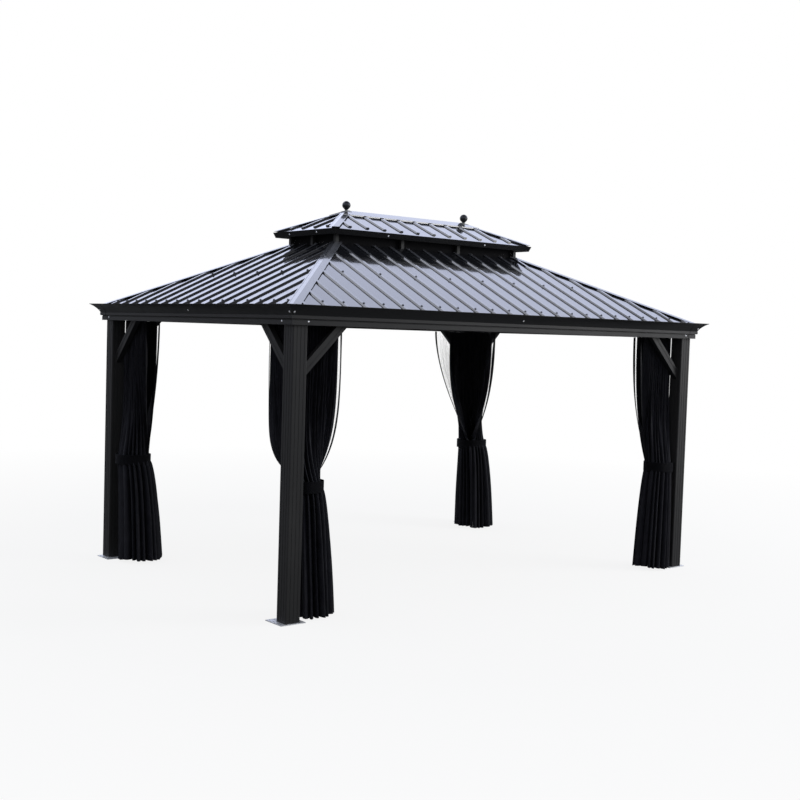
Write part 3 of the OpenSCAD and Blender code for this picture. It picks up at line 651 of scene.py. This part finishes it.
def hang_cloth(name, corner, cut, columns, top_z, hem_z, legs, inside):
    """Hangs one corner's cloth: pleats under the rails, which merge into deeper folds towards the tie."""
    put = beside_post(corner)
    bundle = BUNDLES[corner]
    tie_z = bundle[3]
    draw = random.Random(corner + name)
    deeper, wider, drift, swell, uneven = [some_waves(draw, *waves) for waves in FOLD_WAVES]
    bm = flat_sheet((columns, CURTAIN_ROWS), cut, up=-1)
    for vert in bm.verts:
        s, t = vert.co.x + 0.5, 0.5 - vert.co.y
        z = mix(top_z, hem_z, t)
        leg = abs(1 - 2 * s)
        above, below = (top_z - z) / (top_z - tie_z), (tie_z - z) / tie_z
        ahead = cloth_path(min(s + PATH_STEP, 1), z, top_z, legs, bundle, inside)
        behind = cloth_path(max(s - PATH_STEP, 0), z, top_z, legs, bundle, inside)
        along = (ahead - behind).normalized()
        out = Vector((-along.y, along.x))
        deep = min(max(1 + deeper(s), FOLD_DEPTHS[0]), FOLD_DEPTHS[1])
        shift = wider(s) + drift(t, DRIFT_TURN * s)
        free = mix(eased(leg, POST_HOLDS), 1, eased(above, POST_FREES))
        pleat = eased(1 - leg, EDGE_HOLDS) * math.sin(2 * math.pi * CURTAIN_PLEATS * s + shift)
        pleat *= mix(PLEAT_TOP, PLEAT_MIDDLE, eased(above, PLEATS_OPEN))
        lobe = abs(math.cos(math.pi * LOBES * s + shift / 2)) ** LOBE_ROUND
        fold = (lobe - 1) * mix(LOBE_WAIST, LOBE_HEM, eased(below, LOBES_OPEN))
        wave = free * deep * mix(pleat, fold, eased(above, PLEATS_MERGE))
        wave += SWELL * swell(s) * eased(below, SWELL_GROWS)
        point = cloth_path(s, z, top_z, legs, bundle, inside) + out * wave
        sway = HEM_SWAY * math.sin(2 * math.pi * HEM_SWAYS * s) + HEM_UNEVEN * uneven(s)
        vert.co = put(point, z + sway * eased(below, SWAY_GROWS))
    bmesh.ops.recalc_face_normals(bm, faces=bm.faces)
    return bm


CLOTH_COLOURS = ((0.0068, 0.0068, 0.009, 1), (0.017, 0.017, 0.021, 1))
CLOTH_FINISH = {"Roughness": 0.62, "Specular IOR Level": 0.12}
LINT = (6.0, 6.0, 0.7)
LINT_SHOWS = (0.4, 0.8)
WEAVE = {"Scale": 900.0, "Mortar Size": 0.03}
WEAVE_HEIGHTS = {"Color1": (1, 1, 1, 1), "Color2": (0.7, 0.7, 0.7, 1), "Mortar": (0.1, 0.1, 0.1, 1)}
WEAVE_DEPTH = 0.0003
STITCH_PITCH = 0.004
STITCH_SHARE = 0.75
STITCH_EDGE = (0.002, 0.0008)
STITCH_DEPTH = 0.0008
# Rows of stitches, as the axis of the cut that they follow, the axis across it, and the place on that
STITCH_ROWS = (
    ("X", "Y", HEADING_W), ("X", "Y", CURTAIN_CUT[1] - HEM_TURN),
    ("Y", "X", SIDE_TURN), ("Y", "X", CURTAIN_CUT[0] - SIDE_TURN),
)

stitch_row, row_in, row_out = new_group(
    "stitch row", {"Along": "Float", "Across": "Float", "Line": "Float"}, {"Stitch": "Float"},
)
row_off = reckon(stitch_row, "ABSOLUTE", reckon(stitch_row, "SUBTRACT", row_in["Across"], row_in["Line"]))
row_part = reckon(stitch_row, "FRACT", reckon(stitch_row, "DIVIDE", row_in["Along"], STITCH_PITCH))
row_dash = reckon(stitch_row, "LESS_THAN", row_part, STITCH_SHARE)
fill(row_out, {"Stitch": reckon(stitch_row, "MULTIPLY", ramp(stitch_row, row_off, STITCH_EDGE), row_dash)})

cloth, tree, shader = new_material("black polyester")
at = on_cut(tree)
weave = place(tree, "ShaderNodeTexBrick", {"Vector": at, **WEAVE, **WEAVE_HEIGHTS})
threads = place(tree, "ShaderNodeBump", {"Height": weave.outputs["Color"], "Distance": WEAVE_DEPTH})
sewn = 0.0
for along, across, line in STITCH_ROWS:
    row = place(
        tree, "ShaderNodeGroup",
        {"Along": axis_of(tree, at, along), "Across": axis_of(tree, at, across), "Line": line},
        node_tree=stitch_row,
    )
    sewn = reckon(tree, "MAXIMUM", row.outputs["Stitch"], sewn)
stitches = place(
    tree, "ShaderNodeBump",
    {"Height": sewn, "Distance": STITCH_DEPTH, "Normal": threads.outputs["Normal"]}, invert=True,
)
lint = ramp(tree, mottle(tree, at, *LINT), LINT_SHOWS)
fill(shader, {
    "Base Color": two_tone(tree, lint, *CLOTH_COLOURS),
    "Normal": stitches.outputs["Normal"],
    **CLOTH_FINISH,
})

curtain_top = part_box("front_left_curtain")[1][2] - HEADING_GAP
for corner in CORNERS:
    bm = hang_cloth(
        "curtain", corner, CURTAIN_CUT, CURTAIN_PLEATS * COLUMNS_PER_PLEAT, curtain_top, HEM_Z,
        CURTAIN_LEGS[corner], CURTAIN_INSIDE,
    )
    finish_piece(corner + "_curtain_cloth", bm, cloth)
    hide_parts(corner + "_curtain")


# Insect nets: fine black mesh with a woven tape along each leading edge, hung from the rails inside the
# curtains and tied back with them. They reach further out, so they show as a sheer edge beside each bundle.
# Their threads are coloured a bluish grey, lighter than the tape, as a painted sheen.
NET_CUT = (3.2, 1.93)
NET_LEGS = {
    "front_left": ((0.37, 0.375), (5.0, 10.0)),
    "front_right": ((0.38, 0.41), (2.0, 2.4)),
    "back_right": ((0.5, 0.385), (1.6, 2.8)),
    "back_left": ((0.31, 0.365), (2.0, 2.0)),
}
NET_COLUMNS_PER_PLEAT = 8
NET_INSIDE = 0.034
NET_DROP = 0.002
NET_HEM_Z = 0.07
NET_TAPE = 0.025
NET_THREADS_PER_METRE = 620.0
NET_HALF_THREAD = 0.022
# Black threads lightened to a bluish grey: a painted sheen
NET_BLACK_AND_SHEEN_COLOUR = (0.022, 0.024, 0.033, 1)
TAPE_COLOUR = (0.005, 0.005, 0.006, 1)
NET_FINISH = {"Roughness": 0.6, "Specular IOR Level": 0.2}

net, tree, shader = new_material("insect net")
across = axis_of(tree, on_cut(tree), "X")
near_edge = reckon(tree, "MINIMUM", across, reckon(tree, "SUBTRACT", NET_CUT[0], across))
tape = reckon(tree, "LESS_THAN", near_edge, NET_TAPE)
thread = knitted(tree, NET_THREADS_PER_METRE, NET_HALF_THREAD)
fill(shader, {
    "Base Color": two_tone(tree, tape, NET_BLACK_AND_SHEEN_COLOUR, TAPE_COLOUR),
    "Alpha": reckon(tree, "MAXIMUM", thread, tape),
    **NET_FINISH,
})

for corner in CORNERS:
    bm = hang_cloth(
        "net", corner, NET_CUT, CURTAIN_PLEATS * NET_COLUMNS_PER_PLEAT, curtain_top - NET_DROP, NET_HEM_Z,
        NET_LEGS[corner], NET_INSIDE,
    )
    hung = finish_piece(corner + "_net", bm, net)


# Tie bands: flat black webbing, 80 mm high, sewn into a loop round each bundle of curtain and net at waist
# height. Its ribs run round the band.
BAND_H = 0.08
BAND_T = 0.003
BAND_EASE = 0.003
BAND_SIDES = 72
BAND_RIBS = 160.0
BAND_RIB_DEPTH = 0.0006
BAND_WEAR = (30.0, 4.0)
BAND_COLOURS = ((0.0024, 0.0024, 0.0032, 1), (0.005, 0.005, 0.006, 1))
BAND_FINISH = {"Roughness": 0.7, "Specular IOR Level": 0.06}

webbing, tree, shader = new_material("black webbing")
at = on_piece(tree)
ribs = place(tree, "ShaderNodeTexWave", {"Vector": at, "Scale": BAND_RIBS}, bands_direction="Z")
threads = place(tree, "ShaderNodeBump", {"Height": ribs.outputs["Fac"], "Distance": BAND_RIB_DEPTH})
fill(shader, {
    "Base Color": two_tone(tree, mottle(tree, at, *BAND_WEAR), *BAND_COLOURS),
    "Normal": threads.outputs["Normal"],
    **BAND_FINISH,
})

for corner, (tie, _, full, tie_z) in BUNDLES.items():
    put = beside_post(corner)
    bm = bmesh.new()
    loop = bmesh.ops.create_circle(bm, segments=BAND_SIDES, radius=1.0)["verts"]
    for i, vert in enumerate(loop):
        point = round_bundle(i / BAND_SIDES, tie, WAIST_W / 2 * full + BAND_EASE)
        vert.co = put(point, tie_z - BAND_H / 2)
    up = bmesh.ops.extrude_edge_only(bm, edges=bm.edges[:])["geom"]
    bmesh.ops.translate(bm, verts=[v for v in up if isinstance(v, bmesh.types.BMVert)], vec=(0, 0, BAND_H))
    bmesh.ops.recalc_face_normals(bm, faces=bm.faces)
    bmesh.ops.solidify(bm, geom=bm.faces[:], thickness=-BAND_T)
    band = finish_piece(corner + "_tie_band", bm, webbing)


# Curtain runners: black plastic gliders under the rails, about one to every second pleat. Each is a disc
# with a pin that drops from it into the heading of the cloth.
RUNNER_PITCH = 0.048
RUNNER_SIDES = 10
# Disc and pin, as the radius, the height and the distance of the top below the rail
RUNNER_STACK = ((0.006, 0.003, 0.0), (0.002, 0.016, 0.0025))
GLIDER_COLOUR = (0.008, 0.008, 0.009, 1)
GLIDER_FILM = dict(amount=0.15, roughness=0.5, peel=700.0, bump=0.00004)

glider, tree, shader = new_material("black glider plastic")
painted(tree, shader, GLIDER_COLOUR, COAT_DUST, **GLIDER_FILM)
rail_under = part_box("curtain_rails")[0][2]
bm = bmesh.new()
for corner in CORNERS:
    put = beside_post(corner)
    for leg, reach in enumerate(CURTAIN_LEGS[corner][0]):
        for i in range(int(reach / RUNNER_PITCH)):
            point = Vector((TRACK_IN, TRACK_IN))
            point[leg] += (i + 0.5) * RUNNER_PITCH
            for radius, tall, down in RUNNER_STACK:
                bmesh.ops.create_cone(
                    bm, cap_ends=True, segments=RUNNER_SIDES, radius1=radius, radius2=radius, depth=tall,
                    matrix=Matrix.Translation(put(point, rail_under - down - tall / 2)),
                )
finish_piece("curtain_runners", bm, glider)


# Studio: a white floor that fades into a white surround, soft light from all round and a large soft lamp in
# front to the right. Gloss reflects grey walls, a ring of tall cool soft boxes above them, a dim ceiling and
# one brighter box high at the back left.
WHITE = (1, 1, 1, 1)
FLOOR_HALF = 40.0
FLOOR_FADE = (3.5, 10.0)
FLOOR_NEAR = 0.86
FLOOR_COLOUR = (0.86, 0.86, 0.86, 1)
FLOOR_BOUNCE = (0.26, 0.26, 0.26, 1)
FLOOR_GLOSS = 0.1
AMBIENT = 0.6
SKY_COLOUR = (0.84, 0.89, 1.0, 1)
# Changes with the height of a direction, from 0 at the horizon to 1 straight up
SKY_COOLS = (0.05, 0.6)
BOXES_RISE = (0.10, 0.24)
BOXES_FALL = (0.85, 0.77)
BOXES_COLOUR = (1.1, 1.18, 1.5, 1)
WALL_COLOUR = (0.42, 0.43, 0.46, 1)
CEILING_COLOUR = (0.17, 0.17, 0.18, 1)
HIGH_BOX_WAY = (-0.44, 0.45, 0.777)
HIGH_BOX_EDGE = (0.955, 0.985)
HIGH_BOX_COLOUR = (2.3, 2.4, 2.75, 1)
LAMP_AT = Vector((9.0, -8.0, 4.6))
LAMP_AIM = Vector((0, 0, 1.2))
LAMP_SIZE = 7.0
LAMP_WATTS = 700.0


def two_lights(tree, share, first, second):
    """Mixes two shaders, from the first at 0 to the second at 1."""
    return place(tree, "ShaderNodeMixShader", {0: share, 1: first, 2: second}).outputs[0]


def glowing(tree, colour, strength=1.0):
    return place(tree, "ShaderNodeBackground", {"Color": colour, "Strength": strength}).outputs[0]


bm = bmesh.new()
bmesh.ops.create_grid(bm, x_segments=1, y_segments=1, size=FLOOR_HALF)
mesh = bpy.data.meshes.new("floor")
bm.to_mesh(mesh)
bm.free()
floor = bpy.data.objects.new("floor", mesh)
bpy.context.scene.collection.objects.link(floor)

floor_paint, tree, shader = new_material("white floor")
tree.nodes.remove(shader)
mesh.materials.append(floor_paint)
away = place(tree, "ShaderNodeVectorMath", {0: on_piece(tree)}, operation="LENGTH").outputs["Value"]
matt = place(tree, "ShaderNodeBsdfDiffuse", {"Color": FLOOR_COLOUR}).outputs[0]
glow = place(tree, "ShaderNodeEmission", {"Color": WHITE, "Strength": 1.0}).outputs[0]
seen = two_lights(tree, ramp(tree, away, FLOOR_FADE, FLOOR_NEAR), matt, glow)
bounce = place(tree, "ShaderNodeBsdfDiffuse", {"Color": FLOOR_BOUNCE}).outputs[0]
path = place(tree, "ShaderNodeLightPath").outputs
sight = reckon(tree, "MULTIPLY_ADD", path["Is Glossy Ray"], FLOOR_GLOSS, path["Is Camera Ray"])
fill(tree.nodes["Material Output"], {"Surface": two_lights(tree, sight, bounce, seen)})

world = bpy.data.worlds.new("studio")
bpy.context.scene.world = world
world.use_nodes = True
tree = world.node_tree
around = place(tree, "ShaderNodeTexCoord").outputs["Generated"]
height = axis_of(tree, around, "Z")
sky = two_tone(tree, ramp(tree, height, SKY_COOLS), WHITE, SKY_COLOUR)
ring = two_tone(tree, ramp(tree, height, BOXES_RISE), WALL_COLOUR, BOXES_COLOUR)
boxes = two_tone(tree, ramp(tree, height, BOXES_FALL), CEILING_COLOUR, ring)
towards = place(tree, "ShaderNodeVectorMath", {0: around, 1: HIGH_BOX_WAY}, operation="DOT_PRODUCT")
high_box = ramp(tree, towards.outputs["Value"], HIGH_BOX_EDGE)
shine = two_tone(tree, high_box, boxes, HIGH_BOX_COLOUR)
path = place(tree, "ShaderNodeLightPath").outputs
lit = two_lights(tree, path["Is Glossy Ray"], glowing(tree, sky, AMBIENT), glowing(tree, shine))
sight = reckon(tree, "MAXIMUM", path["Is Camera Ray"], path["Is Transmission Ray"])
fill(tree.nodes["World Output"], {"Surface": two_lights(tree, sight, lit, glowing(tree, WHITE))})

lamp = bpy.data.lights.new("soft lamp", "AREA")
lamp.shape = "DISK"
lamp.size = LAMP_SIZE
lamp.energy = LAMP_WATTS
softbox = bpy.data.objects.new("soft lamp", lamp)
bpy.context.scene.collection.objects.link(softbox)
softbox.location = LAMP_AT
softbox.rotation_euler = (LAMP_AIM - LAMP_AT).to_track_quat("-Z", "Y").to_euler()


# Camera: a normal lens at eye height, off the near corner, held slightly tilted as in the photograph. Its
# place, turn and lens were worked out from the corners of the roof, beams, posts and ridge.
EYE = Vector((-6.3705, -7.9733, 1.9487))
YAW, DOWN, ROLL = math.radians(38.5603), math.radians(3.163), math.radians(1.8222)
LENS = 53.981
SENSOR_W = 36.0

ahead = Vector((math.sin(YAW) * math.cos(DOWN), math.cos(YAW) * math.cos(DOWN), -math.sin(DOWN)))
level = Vector((math.cos(YAW), -math.sin(YAW), 0))
side_way = level * math.cos(ROLL) + level.cross(ahead) * math.sin(ROLL)
camera = bpy.data.objects.new("camera", bpy.data.cameras.new("camera"))
bpy.context.scene.collection.objects.link(camera)
camera.data.lens = LENS
camera.data.sensor_width = SENSOR_W
camera.matrix_world = (
    Matrix.Translation(EYE) @ Matrix((side_way, side_way.cross(ahead), -ahead)).transposed().to_4x4()
)
bpy.context.scene.camera = camera
bpy.context.scene.view_settings.view_transform = "Standard"
